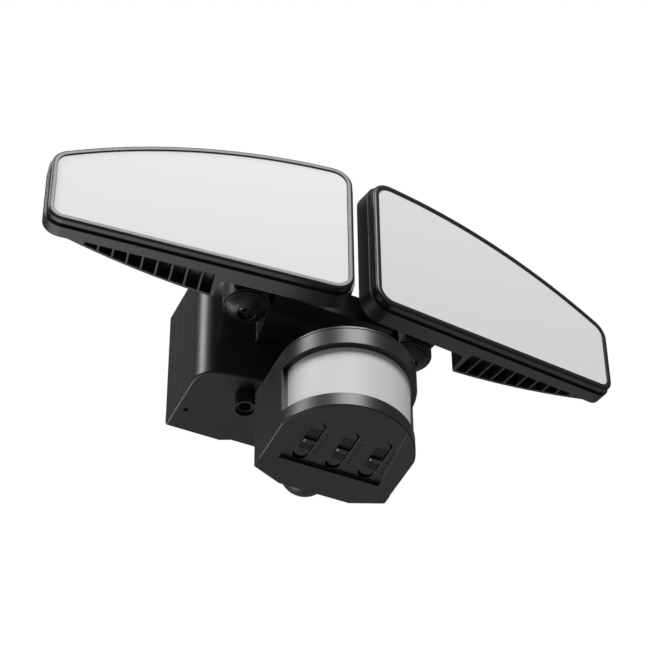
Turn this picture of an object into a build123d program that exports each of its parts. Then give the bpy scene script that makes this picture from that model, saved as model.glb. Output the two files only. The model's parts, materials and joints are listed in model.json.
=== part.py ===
"""Motion sensor security light: two flat lamps and a sensor head on one wall base.

Millimetres. X is the viewer's right, +Y goes into the wall, Z is up. The wall
plane is y = 0 and the middle of the base outline is the origin.
"""
import os
from math import cos, radians, sin, sqrt, tan

from build123d import *

# ---------------------------------------------------------------- fits
RUNNING_GAP = 0.05          # radial, pin or journal turning in its bore
FACE_GAP = 0.1              # between flat faces that slide on each other
FREE_GAP = 0.3              # beside parts that move without guiding
SCREW_HOLE_GAP = 0.15       # radial, screw through a clearance hole

# ---------------------------------------------------------------- wall base
BASE_WIDTH = 131.2
BASE_HEIGHT = 81.4
BASE_FRONT = 55.3           # wall to the middle of the bowed front
BASE_FRONT_R = 290.0        # bow of the front in plan
BASE_CORNER_R = 13.0        # upright front corners
BASE_EDGE_R = 1.2           # top and bottom edges
BASE_WALL = 3.0
TRAY_WALL = 2.6
PLATE_DEPTH = 11.1          # seam between back plate and rear cover
COVER_DEPTH = 21.2          # seam between rear cover and housing
PLATE_BACK = 3.0
BULKHEAD = 2.5
RELIEF_DEPTH = 4.0          # gap along the bottom of the back plate
RELIEF_HALF_OUT = 33.8
RELIEF_HALF_IN = 25.2

WALL_SCREW_SPACING = 88.9   # ceiling and wall box spacing
WALL_SCREW_HOLE_R = 2.4
WIRE_OPENING_W = 32.0
WIRE_OPENING_H = 24.0
WIRE_OPENING_Z = -14.0
WIRE_OPENING_R = 3.0
WIRE_PASSAGE_R = 6.3        # hole in the bulkhead behind the opening

SNAP_IN = 5.9               # snaps in from the side faces
SNAP_X = BASE_WIDTH / 2 - SNAP_IN
SNAP_DEPTH = 15.8
SNAP_WINDOW = 2.4
SNAP_NUB = 1.8
SNAP_WIDTH = 4.4
SNAP_THICK = 1.8
SNAP_ROOT = 5.0             # length of the tongue on the tray wall

CASE_SCREW_IN = 11.1
CASE_SCREW_X = BASE_WIDTH / 2 - CASE_SCREW_IN
CASE_SCREW_Z = 27.0
CASE_POST_R = 4.0
CASE_SCREW_R = 1.6
CASE_SCREW_HEAD_R = 3.2
CASE_SCREW_HEAD_H = 2.0
CASE_SCREW_LEN = 15.0

BOSS_X = -35.0
BOSS_DEPTH = 39.1
BOSS_R = 6.3
BOSS_BORE_R = 5.2
BOSS_LENGTH = 10.0
GROMMET_BORE_R = 3.5
GROMMET_FLANGE_R = 7.2
GROMMET_FLANGE_T = 1.4
GROMMET_RECESS = 2.0        # grommet end above the boss rim

# ---------------------------------------------------------------- driver electronics
DRIVER_POST_GAP = 2.5       # board to the case screw posts
DRIVER_W = 2 * (CASE_SCREW_X - CASE_POST_R - DRIVER_POST_GAP)
DRIVER_H = 54.0
PCB_T = 1.6
DRIVER_STANDOFF = 6.4
STANDOFF_R = 3.2
BOARD_SCREW_R = 1.2
BOARD_SCREW_HEAD_R = 2.4
BOARD_SCREW_HEAD_H = 1.4
BOARD_SCREW_LEN = 5.0
DRIVER_SCREW_IN = 4.0
DRIVER_SCREW_X = DRIVER_W / 2 - DRIVER_SCREW_IN
DRIVER_SCREW_Z = 23.0
# x, z, width, height, depth of each block on the driver board
DRIVER_BLOCKS = (
    (-14.0, 2.0, 24.0, 26.0, 15.0),
    (14.0, 12.0, 16.0, 12.0, 12.0),
    (13.0, -8.0, 20.0, 9.0, 6.0),
    (-DRIVER_W / 2 + 10.0, -4.0, 10.0, 18.0, 9.0),
)
# x, z, radius, depth of each round component
DRIVER_CANS = (
    (32.0, 6.0, 5.0, 16.0),
    (32.0, -9.0, 5.0, 16.0),
    (-DRIVER_W / 2 + 11.0, 15.0, 4.0, 12.0),
)
TERMINAL_W = 30.0
TERMINAL_H = 13.0
TERMINAL_D = 7.6
TERMINAL_Z = 15.0
TERMINAL_POLES = 3
TERMINAL_SCREW_R = 2.0
TERMINAL_SCREW_DEPTH = 3.0

# ---------------------------------------------------------------- lamp pivots
PIVOT_X = 48.3
PIVOT_DEPTH = 70.4
BARREL_R = 13.0
BARREL_BOTTOM = -7.0
EAR_LOW_TOP = 6.2
WASHER_T = 1.0
WASHER_R = 9.0
LUG_R = 11.5
LUG_T = 11.2
LUG_ARM_HALF = 7.0
LUG_CLEAR_R = 12.3
BARREL_TOP = 26.7
PIVOT_R = 3.0
PIVOT_NUT_AF = 10.0
PIVOT_NUT_H = 4.5
PIVOT_END = 32.2
CUP_R = 12.2
CUP_EDGE = 0.8
CUP_DEPTH = 5.4
CUP_ARCH_OUT = 0.58          # middle of the domed side, as shares of its width and height
CUP_ARCH_UP = 0.38
CUP_BORE_R = 4.85
CUP_FLOOR = 1.2
PIVOT_HEAD_R = 4.4
PIVOT_HEAD_H = 2.7
CROSS_W = 1.1
CROSS_L = 5.4
CROSS_DEPTH = 1.4

# bridge between the two pivots, side profile as depth from the wall and height
BRIDGE_HALF = 35.0
BRIDGE_TOP = 18.5
BRIDGE_FRONT = 79.9
BRIDGE_PROFILE = ((79.9, -0.8), (73.9, -2.8), (70.4, -4.3), (66.0, -7.3), (60.4, -9.3),
                  (56.6, -11.3), (52.9, -12.3))
BRIDGE_ROOT = 50.0
BRIDGE_EDGE_R = 3.0
BRIDGE_HOLLOW_HALF = 28.0
BRIDGE_HOLLOW_FRONT = 75.9
BRIDGE_HOLLOW_Z = (1.7, 15.5)

# ---------------------------------------------------------------- lamps
LAMP_W = 158.4              # window width along the lamp
LAMP_RISE = 6.88            # degrees, slope of the lower edge
LAMP_TOP_R = 307.0
LAMP_TOP_W = 35.0
LAMP_TOP_Z = 88.5
CORNER_LOW_IN = 7.0
CORNER_LOW_OUT = 6.0
CORNER_TOP_OUT = 8.0
CORNER_TOP_IN = 9.0
LAMP_YAW = 11.05            # degrees, outer end swept back towards the wall
LAMP_AXIS_W = 47.0          # pivot axis from the inner window edge
LAMP_AXIS_D = 38.7          # pivot axis behind the window face
LAMP_FOOT_Z = -18.89        # inner lower window corner, height

BEZEL_GROW = 3.3
BEZEL_PROUD = 0.8
BEZEL_BACK = 3.0
BEZEL_EDGE_R = 1.5
BEZEL_LIP_GAP = 0.15
WINDOW_T = 1.2
WINDOW_FLANGE = 1.6
WINDOW_BACK = 2.6
GASKET_T = 0.8
GASKET_IN = 0.4
NECK_GROW = 2.3
SHOULDER_D = 4.4
HOUSING_GROW = 4.5
CAVITY_SHRINK = 1.5
CAVITY_D = 8.6
LED_BOARD_SHRINK = 3.0
HOUSING_BACK = 14.0         # flat inner part of the rear
STEP_FOOT_W = 66.0          # foot and crest of the step up to the heat sink
STEP_RUN = 1.5
STEP_CREST_W = STEP_FOOT_W + STEP_RUN
STEP_R = 2.0
SINK_FLAT_W = 3.0           # flat top beside the crest
SINK_DEEP = (STEP_CREST_W + SINK_FLAT_W, 27.0)      # along the lamp, depth
SINK_SHALLOW = (149.0, 11.6)
SINK_BOW = 1.96
SINK_END_D = 11.9
FIN_FIRST_IN = 5.7
FIN_FIRST_W = SINK_DEEP[0] + FIN_FIRST_IN
FIN_END_W = 140.2
FIN_COUNT = 8
FIN_PITCH = (FIN_END_W - FIN_FIRST_W) / FIN_COUNT
FIN_T = 1.1
FIN_ROOT_D = 10.8
FIN_REACH = 2.5             # air pockets between the fins, in from the edge
SINK_SKIN = 1.5             # rear face over the pockets
SINK_WALL = 2.0             # step wall beside the first pocket

LED_ROWS = (0.2, 0.5, 0.8)
LED_COLUMNS = 9
LED_FIRST_W = 15.0
LED_PITCH = 15.6
LED_SIZE = 3.0
LED_T = 0.7
# along the lamp, share of the height between lower and upper edge
LED_SCREWS = ((7.8, 0.35), (7.8, 0.65), (77.4, 0.35), (77.4, 0.65), (147.0, 0.5))
LED_SCREW_LEN = 4.5

NECK_HALF = 9.0
NECK_BOTTOM = -3.3
PAD_HALF = 10.2
PAD_BOTTOM = -12.3
PAD_TOP = 35.7
PAD_T = 3.5
PAD_CORNER_R = 6.0
KNUCKLE_SCREW_X = 6.5
KNUCKLE_SCREW_Z = (-7.5, 30.9)
KNUCKLE_SCREW_R = 1.6
KNUCKLE_SCREW_HEAD_R = 2.8
KNUCKLE_SCREW_HEAD_H = 2.0
KNUCKLE_SCREW_LEN = 7.8

# ---------------------------------------------------------------- sensor head
SENSOR_HALF = 37.4
SENSOR_TOP = -56.3
SENSOR_BOTTOM = -105.9
SEAM_DEPTH = 63.9           # between front and rear housing
REAR_CORNER_RUN = 6.0
REAR_RUN = 13.4
REAR_CORNER_DEPTH = SEAM_DEPTH - REAR_CORNER_RUN
REAR_FLAT_DEPTH = SEAM_DEPTH - REAR_RUN
REAR_FLAT_HALF = 20.0
REAR_CORNER_R = 1.5
LOW_R = 38.8                # front arc of the lower band in plan
LOW_FRONT = 122.1
HOOD_R = 37.5
HOOD_OVERHANG = 6.2
HOOD_FRONT = LOW_FRONT + HOOD_OVERHANG
HOOD_H = 11.7
HOOD_BOTTOM = SENSOR_TOP - HOOD_H
HOOD_LIP_T = 1.5
HOOD_LIP_W = 5.2
HOOD_WALL = 2.4
SENSOR_WALL = 2.2
SENSOR_FLOOR = 4.0
SENSOR_FLOOR_EDGE_R = 0.8
CAP_T = 1.3
CAP_SEAM_H = 0.4
CAP_SEAM_IN = 0.6
CAP_PLUG = 1.3
CAP_PLUG_GAP = 0.1
LENS_HALF = 34.2
LENS_RISE = 8.4             # height of the lower band
LENS_BOTTOM = SENSOR_BOTTOM + LENS_RISE
LENS_T = 1.2
LENS_SUNK = 0.2
LENS_LOW_FRONT = LOW_FRONT - LENS_SUNK
LENS_UNDER_HOOD = 3.4
LENS_TOP_FRONT = HOOD_FRONT - LENS_UNDER_HOOD
LENS_SAG = 29.2
LENS_END = LOW_FRONT - LENS_SAG     # round part ends, short straight tails begin
LENS_TAIL = 5.0
LENS_LIP_W = 6.5            # ledge of the lower band under the lens
LENS_LIP_T = 1.5

PANEL_IN = 5.3
PANEL_REAR_DEPTH = SEAM_DEPTH + PANEL_IN     # recessed panel in the underside
PANEL_FRONT_DEPTH = 114.9
PANEL_HALF_REAR = 28.5
PANEL_HALF_FRONT = 24.0
PANEL_RECESS = 2.0
SLIDE_X = (-18.6, 0.0, 18.6)
SLIDE_IN = 5.1
SLIDE_DEPTH_REAR = PANEL_REAR_DEPTH + SLIDE_IN     # end circle centres of each slide opening
SLIDE_DEPTH_FRONT = 97.6
SLIDE_W = 8.0
SLIDER_TRAVEL = 1.8         # each way
SLIDER_END_GAP = 0.2
SLIDER_SUNK = 2.4
SLIDER_FACE = SENSOR_BOTTOM + SLIDER_SUNK
SLIDER_FLANGE_W = 9.6
SLIDER_FLANGE_L = 24.0
SLIDER_FLANGE_T = 1.0
GRIP_L = 6.6
GRIP_W = 2.4
GRIP_H = 1.6
RIB_COUNT = 4
RIB_PITCH = 1.6
RIB_W = 0.6
RIB_H = 0.3
STUB_X = 1.6
STUB_Y = 2.4
STUB_H = 1.9
SWITCH_W = 8.0
SWITCH_L = 18.0
SWITCH_SLOT_W = 2.4
SWITCH_SLOT_L = 8.0
SWITCH_SLOT_H = 2.4

CONTROL_HALF = 31.0
CONTROL_IN = 4.0
CONTROL_REAR_DEPTH = SEAM_DEPTH + CONTROL_IN
CONTROL_FRONT_DEPTH = 98.9
CONTROL_RISE = 9.2
CONTROL_UNDER = SENSOR_BOTTOM + CONTROL_RISE
POST_REAR_IN = (2.0, 9.0)   # screw posts in from the board's side and end
POST_FRONT_IN = (3.5, 3.0)
CONTROL_POSTS = tuple((s * (CONTROL_HALF - side_in), depth) for s in (-1, 1)
                      for side_in, depth in
                      ((POST_REAR_IN[0], CONTROL_REAR_DEPTH + POST_REAR_IN[1]),
                       (POST_FRONT_IN[0], CONTROL_FRONT_DEPTH - POST_FRONT_IN[1])))
CONTROL_POST_R = 2.4
CONTROL_SCREW_R = 1.0
CONTROL_SCREW_HEAD_R = 2.0
CONTROL_SCREW_HEAD_H = 1.4
CONTROL_SCREW_LEN = 4.6
DETECTOR_HALF = 14.0
DETECTOR_DEPTH = 84.9
DETECTOR_TOP = -69.3
DETECTOR_Z = -82.8
DETECTOR_R = 4.6
DETECTOR_RIM_R = 5.2
DETECTOR_RIM_T = 0.8
DETECTOR_LEN = 5.6
DETECTOR_EYE = 4.0
DETECTOR_EYE_DEPTH = 0.4

JOIN_SCREW_X = 32.2
JOIN_RISE = 6.3             # screws in from the bottom and from the top
JOIN_DROP = 7.5
JOIN_SCREW_Z = (SENSOR_BOTTOM + JOIN_RISE, SENSOR_TOP - JOIN_DROP)
JOIN_BOSS_R = 2.6
JOIN_SCREW_R = 1.2
JOIN_HEAD_R = 2.2
JOIN_HEAD_H = 1.6
JOIN_SEAT_T = 2.0           # rear shell between the seam and the screw heads
JOIN_HEAD_SEAT_DEPTH = SEAM_DEPTH - JOIN_SEAT_T
JOIN_COUNTERBORE_R = 2.4
JOIN_SCREW_LEN = 9.0
JOIN_BOSS_OVER = 2.0        # boss past the screw tips
JOIN_BOSS_END_DEPTH = JOIN_HEAD_SEAT_DEPTH + JOIN_SCREW_LEN + JOIN_BOSS_OVER

# ---------------------------------------------------------------- sensor swivel
BALL_DEPTH = 39.5
BALL_RISE = 23.6
BALL_Z = SENSOR_BOTTOM + BALL_RISE
BALL_R = 13.7
BALL_POCKET_R = 14.3
BALL_POCKET_SKIN = 2.2
TILT_PIN_R = 2.5
EAR_GAP = 0.6
EAR_T = 3.5
EAR_R = 6.0
NECK_ROD_R = 7.0
COLLAR_R = 10.0
COLLAR_H = 3.4
JOURNAL_R = 6.0
BEARING_R = 10.5
BEARING_TOP = -35.0
SWIVEL_NUT_AF = 17.0
SWIVEL_NUT_H = 3.5
JOURNAL_END = 1.0           # thread past the nut

HALF_W = BASE_WIDTH / 2
HALF_H = BASE_HEIGHT / 2
LUG_BOTTOM = EAR_LOW_TOP + WASHER_T + FACE_GAP
LUG_TOP = LUG_BOTTOM + LUG_T
EAR_TOP_BOTTOM = LUG_TOP + FACE_GAP
FLOOR_TOP = -HALF_H + BASE_WALL
LOW_CENTRE = LOW_R - LOW_FRONT
HOOD_CENTRE = HOOD_R - HOOD_FRONT
SIDE_END = sqrt(LOW_R ** 2 - SENSOR_HALF ** 2) - LOW_CENTRE     # sensor sides are straight to here
RIM_TOP = SENSOR_TOP - CAP_T - CAP_SEAM_H
SENSOR_FLOOR_TOP = SENSOR_BOTTOM + SENSOR_FLOOR
SLIDER_FLANGE_BOTTOM = SENSOR_FLOOR_TOP + FACE_GAP
SLIDER_FLANGE_TOP = SLIDER_FLANGE_BOTTOM + SLIDER_FLANGE_T
SWITCH_BOTTOM = SLIDER_FLANGE_TOP + FREE_GAP
SLIDE_MID_DEPTH = (SLIDE_DEPTH_REAR + SLIDE_DEPTH_FRONT) / 2
SLIDE_LENGTH = SLIDE_DEPTH_FRONT - SLIDE_DEPTH_REAR + SLIDE_W
CONTROL_TOP = CONTROL_UNDER + PCB_T


# ---------------------------------------------------------------- helpers
def block(x, y, z):
    """Box between the two limits given for each axis."""
    size = [abs(b - a) for a, b in (x, y, z)]
    mid = [(a + b) / 2 for a, b in (x, y, z)]
    return Pos(*mid) * Box(*size)


def upright(x, y, z, radius):
    """Cylinder along Z between the two heights in z."""
    return Pos(x, y, (z[0] + z[1]) / 2) * Cylinder(radius, abs(z[1] - z[0]))


def level(x, y, z, radius):
    """Cylinder along Y between the two limits in y."""
    return Pos(x, (y[0] + y[1]) / 2, z) * Rot(90, 0, 0) * Cylinder(radius, abs(y[1] - y[0]))


def crosswise(x, y, z, radius):
    """Cylinder along X between the two limits in x."""
    return Pos((x[0] + x[1]) / 2, y, z) * Rot(0, 90, 0) * Cylinder(radius, abs(x[1] - x[0]))


def prism(face, z):
    """Raise a face drawn on XY between two heights."""
    return Pos(0, 0, z[0]) * extrude(face, amount=z[1] - z[0], dir=(0, 0, 1))


def side_prism(points, x):
    """Extrude a (depth, height) outline along X between two limits."""
    outline = Polyline(*[(0, -depth, height) for depth, height in points], close=True)
    solid = extrude(make_face(outline), amount=x[1] - x[0], dir=(1, 0, 0))
    return Pos(x[0], 0, 0) * solid


def hex_nut(x, y, z, across_flats, bore_r):
    """Hexagon nut along Z with a round bore."""
    outline = RegularPolygon(across_flats / sqrt(3), 6)
    nut = prism(outline, (z[0], z[1])) - upright(0, 0, z, bore_r)
    return Pos(x, y, 0) * nut


def signs(*axes):
    """Every combination of plus and minus for the given distances."""
    corners = [()]
    for value in axes:
        corners = [c + (s * value,) for c in corners for s in (-1, 1)]
    return corners


def group(solids):
    """Equal separate pieces kept as one item."""
    return Compound(children=list(solids))


def mirrored(part):
    """Left-hand copy of one piece or of a group."""
    copies = [mirror(solid, about=Plane.YZ) for solid in part.solids()]
    return copies[0] if len(copies) == 1 else group(copies)


def rounded(face, corners):
    """Round the named corners of a flat outline, given as (x, y, radius)."""
    for x, y, radius in corners:
        near = face.vertices().sort_by_distance((x, y, 0))[0]
        face = fillet(near, radius)
    return face


# ---------------------------------------------------------------- wall base
def base_plan(inset, back):
    """Plan of the base: straight sides, bowed front, rounded front corners."""
    half = HALF_W - inset
    bow = BASE_FRONT_R - inset
    centre = BASE_FRONT_R - BASE_FRONT
    corner = centre - sqrt(bow ** 2 - half ** 2)
    outline = Polyline((-half, corner), (-half, back), (half, back), (half, corner))
    front = ThreePointArc((-half, corner), (0, centre - bow), (half, corner))
    radius = BASE_CORNER_R - inset
    face = make_face(outline + front)
    return rounded(face, [(-half, corner, radius), (half, corner, radius)])


def base_envelope():
    """Outside of the whole base, edges rounded all round except at the wall."""
    body = prism(base_plan(0, 0), (-HALF_H, HALF_H))
    rims = [body.faces().sort_by(Axis.Z)[i].edges() for i in (0, -1)]
    edges = [e for rim in rims for e in rim if e.center().Y < -BASE_EDGE_R]
    return fillet(edges, BASE_EDGE_R)


def bridge():
    """Block between the lamp pivots, hollow towards the base for the wires."""
    outline = [(BRIDGE_ROOT, BRIDGE_TOP), (BRIDGE_FRONT, BRIDGE_TOP)]
    outline += list(BRIDGE_PROFILE) + [(BRIDGE_ROOT, BRIDGE_PROFILE[-1][1])]
    body = side_prism(outline, (-BRIDGE_HALF, BRIDGE_HALF))
    front_top = body.edges().filter_by(Axis.X).sort_by_distance((0, -BRIDGE_FRONT, BRIDGE_TOP))[0]
    return fillet(front_top, BRIDGE_EDGE_R)


def pivot_lug(side):
    """Eye of the bridge that the lamp barrel closes round."""
    x = side * PIVOT_X
    eye = upright(x, -PIVOT_DEPTH, (LUG_BOTTOM, LUG_TOP), LUG_R)
    arm = block((x, side * BRIDGE_HOLLOW_HALF),
                (-PIVOT_DEPTH - LUG_ARM_HALF, -PIVOT_DEPTH + LUG_ARM_HALF),
                (LUG_BOTTOM, LUG_TOP))
    return eye + arm


def base_housing():
    """Front shell with bridge, pivot eyes, cable boss and swivel bearing."""
    front = block((-HALF_W, HALF_W), (-BASE_FRONT - 1, -COVER_DEPTH), (-HALF_H, HALF_H))
    shell = base_envelope() & front
    cavity = prism(base_plan(BASE_WALL, -COVER_DEPTH + 1), (FLOOR_TOP, -FLOOR_TOP))
    body = shell - cavity
    body += bridge()
    hollow = block((-BRIDGE_HOLLOW_HALF, BRIDGE_HOLLOW_HALF),
                   (-BRIDGE_HOLLOW_FRONT, -BRIDGE_ROOT + 1), BRIDGE_HOLLOW_Z)
    body -= hollow
    for side in (-1, 1):
        body += pivot_lug(side)
        body -= upright(side * PIVOT_X, -PIVOT_DEPTH, (LUG_BOTTOM - 1, LUG_TOP + 1),
                        PIVOT_R + RUNNING_GAP)
    for x, z in signs(CASE_SCREW_X, CASE_SCREW_Z):
        post = level(x, (-BASE_FRONT, -PLATE_DEPTH - BULKHEAD), z, CASE_POST_R)
        inside = prism(base_plan(BASE_WALL / 2, 0), (FLOOR_TOP, -FLOOR_TOP))
        body += post & inside
        body -= level(x, (-PLATE_DEPTH - CASE_SCREW_LEN, 0), z, CASE_SCREW_R)
    body += upright(BOSS_X, -BOSS_DEPTH, (-HALF_H - BOSS_LENGTH, -HALF_H), BOSS_R)
    body -= upright(BOSS_X, -BOSS_DEPTH, (-HALF_H - BOSS_LENGTH, FLOOR_TOP), BOSS_BORE_R)
    body += upright(0, -BALL_DEPTH, (-HALF_H, BEARING_TOP), BEARING_R)
    body -= upright(0, -BALL_DEPTH, (-HALF_H, BEARING_TOP), JOURNAL_R + RUNNING_GAP)
    return body


def back_plate():
    """Tray that is screwed on the wall, with four snap tongues."""
    tray = base_envelope() & block((-HALF_W, HALF_W), (-PLATE_DEPTH, 0), (-HALF_H, HALF_H))
    inner_x = HALF_W - TRAY_WALL
    inner_z = HALF_H - TRAY_WALL
    tray -= block((-inner_x, inner_x), (-PLATE_DEPTH, -PLATE_BACK), (-inner_z, inner_z))
    for side in (-1, 1):
        tray -= level(side * WALL_SCREW_SPACING / 2, (-PLATE_BACK, 0), 0, WALL_SCREW_HOLE_R)
    opening = Pos(0, -PLATE_BACK, WIRE_OPENING_Z) * Rot(90, 0, 0)
    cutter = extrude(RectangleRounded(WIRE_OPENING_W, WIRE_OPENING_H, WIRE_OPENING_R),
                     amount=PLATE_BACK, both=True)
    tray -= opening * cutter
    relief = Polyline((-RELIEF_HALF_OUT, 0), (-RELIEF_HALF_IN, -RELIEF_DEPTH),
                      (RELIEF_HALF_IN, -RELIEF_DEPTH), (RELIEF_HALF_OUT, 0), close=True)
    tray -= prism(make_face(relief), (-HALF_H, -inner_z))
    for x, z in signs(SNAP_X, 1.0):
        tray += snap_tongue(x, z)
    return tray


def snap_tongue(x, z_side):
    """Tongue from the tray wall into the window of the rear cover."""
    inner_z = HALF_H - TRAY_WALL
    half = SNAP_WIDTH / 2
    root = block((x - half, x + half), (-PLATE_DEPTH, -PLATE_DEPTH + SNAP_ROOT),
                 (z_side * (inner_z + 0.5), z_side * (inner_z - SNAP_THICK)))
    blade = block((x - half, x + half), (-SNAP_DEPTH - SNAP_WINDOW, -PLATE_DEPTH),
                  (z_side * (inner_z - FACE_GAP), z_side * (inner_z - SNAP_THICK)))
    nub_half = SNAP_NUB / 2
    nub = block((x - nub_half, x + nub_half), (-SNAP_DEPTH - nub_half, -SNAP_DEPTH + nub_half),
                (z_side * (inner_z + TRAY_WALL / 2), z_side * (inner_z - SNAP_THICK)))
    return root + blade + nub


def rear_cover():
    """Middle band with the bulkhead between wiring space and electronics."""
    band = base_envelope() & block((-HALF_W, HALF_W), (-COVER_DEPTH, -PLATE_DEPTH),
                                   (-HALF_H, HALF_H))
    inner_x = HALF_W - TRAY_WALL
    inner_z = HALF_H - TRAY_WALL
    face = PLATE_DEPTH + BULKHEAD
    band -= block((-inner_x, inner_x), (-COVER_DEPTH, -face), (-inner_z, inner_z))
    passage = SNAP_WIDTH / 2 + FREE_GAP
    window = SNAP_WINDOW / 2
    for x, side in signs(SNAP_X, 1.0):
        band -= block((x - passage, x + passage), (-face, -PLATE_DEPTH),
                      (side * inner_z, side * (inner_z - SNAP_THICK - FREE_GAP)))
        band -= block((x - window, x + window), (-SNAP_DEPTH - window, -SNAP_DEPTH + window),
                      (side * HALF_H, side * inner_z))
    for x, z in signs(DRIVER_SCREW_X, DRIVER_SCREW_Z):
        band += level(x, (-face - DRIVER_STANDOFF, -face), z, STANDOFF_R)
        band -= level(x, (-face - DRIVER_STANDOFF, -face), z, BOARD_SCREW_R)
    for x, z in signs(CASE_SCREW_X, CASE_SCREW_Z):
        band -= level(x, (-face, -PLATE_DEPTH), z, CASE_SCREW_R + SCREW_HOLE_GAP)
    band -= level(0, (-face, -PLATE_DEPTH), WIRE_OPENING_Z, WIRE_PASSAGE_R)
    return band


def case_screws():
    """Four screws from the wiring space into the posts of the housing."""
    screws = []
    for x, z in signs(CASE_SCREW_X, CASE_SCREW_Z):
        head = level(x, (-PLATE_DEPTH, -PLATE_DEPTH + CASE_SCREW_HEAD_H), z, CASE_SCREW_HEAD_R)
        shank = level(x, (-PLATE_DEPTH - CASE_SCREW_LEN, -PLATE_DEPTH), z, CASE_SCREW_R)
        screws.append(head + shank)
    return group(screws)


def cable_grommet():
    """Rubber bush in the cable boss, held by a flange inside the floor."""
    bottom = -HALF_H - BOSS_LENGTH + GROMMET_RECESS
    top = FLOOR_TOP + GROMMET_FLANGE_T
    body = upright(BOSS_X, -BOSS_DEPTH, (bottom, top), BOSS_BORE_R)
    body += upright(BOSS_X, -BOSS_DEPTH, (FLOOR_TOP, top), GROMMET_FLANGE_R)
    return body - upright(BOSS_X, -BOSS_DEPTH, (bottom, top), GROMMET_BORE_R)


def driver_face():
    """Depth of the component side of the driver board."""
    return PLATE_DEPTH + BULKHEAD + DRIVER_STANDOFF + PCB_T


def driver_board():
    """Board on four standoffs of the rear cover."""
    face = driver_face()
    board = block((-DRIVER_W / 2, DRIVER_W / 2), (-face, -face + PCB_T),
                  (-DRIVER_H / 2, DRIVER_H / 2))
    for x, z in signs(DRIVER_SCREW_X, DRIVER_SCREW_Z):
        board -= level(x, (-face, -face + PCB_T), z, BOARD_SCREW_R + SCREW_HOLE_GAP)
    return board


def driver_components():
    """Transformer, relay, filter and capacitors standing on the board."""
    face = driver_face()
    parts = [block((x - w / 2, x + w / 2), (-face - d, -face), (z - h / 2, z + h / 2))
             for x, z, w, h, d in DRIVER_BLOCKS]
    parts += [level(x, (-face - d, -face), z, r) for x, z, r, d in DRIVER_CANS]
    return group(parts)


def board_screws():
    """Four screws of the driver board."""
    face = driver_face()
    screws = []
    for x, z in signs(DRIVER_SCREW_X, DRIVER_SCREW_Z):
        head = level(x, (-face - BOARD_SCREW_HEAD_H, -face), z, BOARD_SCREW_HEAD_R)
        shank = level(x, (-face, -face + BOARD_SCREW_LEN), z, BOARD_SCREW_R)
        screws.append(head + shank)
    return group(screws)


def terminal_block():
    """Mains terminal block in the wiring space."""
    front = PLATE_BACK + TERMINAL_D
    body = block((-TERMINAL_W / 2, TERMINAL_W / 2), (-front, -PLATE_BACK),
                 (TERMINAL_Z - TERMINAL_H / 2, TERMINAL_Z + TERMINAL_H / 2))
    pitch = TERMINAL_W / TERMINAL_POLES
    for i in range(TERMINAL_POLES):
        x = (i - (TERMINAL_POLES - 1) / 2) * pitch
        body -= level(x, (-front, -front + TERMINAL_SCREW_DEPTH), TERMINAL_Z, TERMINAL_SCREW_R)
    return body


# ---------------------------------------------------------------- lamps, right-hand side
def lamp_bottom(w, grow=0.0):
    """Height of the lower edge at distance w along the lamp."""
    return w * tan(radians(LAMP_RISE)) - grow / cos(radians(LAMP_RISE))


def lamp_top(w, grow=0.0):
    """Height of the arched upper edge at distance w along the lamp."""
    return LAMP_TOP_Z - LAMP_TOP_R + sqrt((LAMP_TOP_R + grow) ** 2 - (w - LAMP_TOP_W) ** 2)


def lamp_outline(grow):
    """Window outline moved outwards by grow, corners rounded."""
    inner, outer = -grow, LAMP_W + grow
    low_in = (inner, lamp_bottom(inner, grow))
    low_out = (outer, lamp_bottom(outer, grow))
    top_out = (outer, lamp_top(outer, grow))
    top_in = (inner, lamp_top(inner, grow))
    crown = (LAMP_TOP_W, lamp_top(LAMP_TOP_W, grow))
    sides = Polyline(top_in, low_in, low_out, top_out)
    face = make_face(sides + ThreePointArc(top_out, crown, top_in))
    radii = (CORNER_TOP_IN, CORNER_LOW_IN, CORNER_LOW_OUT, CORNER_TOP_OUT)
    corners = (top_in, low_in, low_out, top_out)
    return rounded(face, [(x, y, r + grow) for (x, y), r in zip(corners, radii)])


def lamp_slab(grow, near, far):
    """Plate of the lamp outline between two depths behind the window face."""
    return prism(lamp_outline(grow), (-far, -near))


def place_lamp(part):
    """Move a part drawn on the window plane to its place on the right."""
    yaw = radians(LAMP_YAW)
    x = PIVOT_X - LAMP_AXIS_W * cos(yaw) + LAMP_AXIS_D * sin(yaw)
    y = -PIVOT_DEPTH - LAMP_AXIS_W * sin(yaw) - LAMP_AXIS_D * cos(yaw)
    return Pos(x, y, LAMP_FOOT_Z) * Rot(0, 0, LAMP_YAW) * Rot(90, 0, 0) * part


def place_pivot(part):
    """Move a part drawn round the pivot axis, lamp side at -Y, to its place."""
    return Pos(PIVOT_X, -PIVOT_DEPTH, 0) * Rot(0, 0, LAMP_YAW) * part


def sink_depth(w):
    """Depth of the bowed rear face of the heat sink."""
    (w0, d0), (w1, d1) = SINK_DEEP, SINK_SHALLOW
    chord = sqrt((w1 - w0) ** 2 + (d1 - d0) ** 2)
    radius = chord ** 2 / (8 * SINK_BOW) + SINK_BOW / 2
    along = ((w1 - w0) / chord, (d1 - d0) / chord)
    centre_w = (w0 + w1) / 2 + (radius - SINK_BOW) * along[1]
    centre_d = (d0 + d1) / 2 - (radius - SINK_BOW) * along[0]
    return centre_d + sqrt(radius ** 2 - (w - centre_w) ** 2)


def depth_prism(face):
    """Raise a (along, depth) outline over the full height of the lamp."""
    height = LAMP_TOP_Z + 4 * HOUSING_GROW
    solid = extrude(face, amount=height, dir=(0, 0, 1))
    return Pos(0, -2 * HOUSING_GROW, 0) * Rot(-90, 0, 0) * solid


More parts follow.
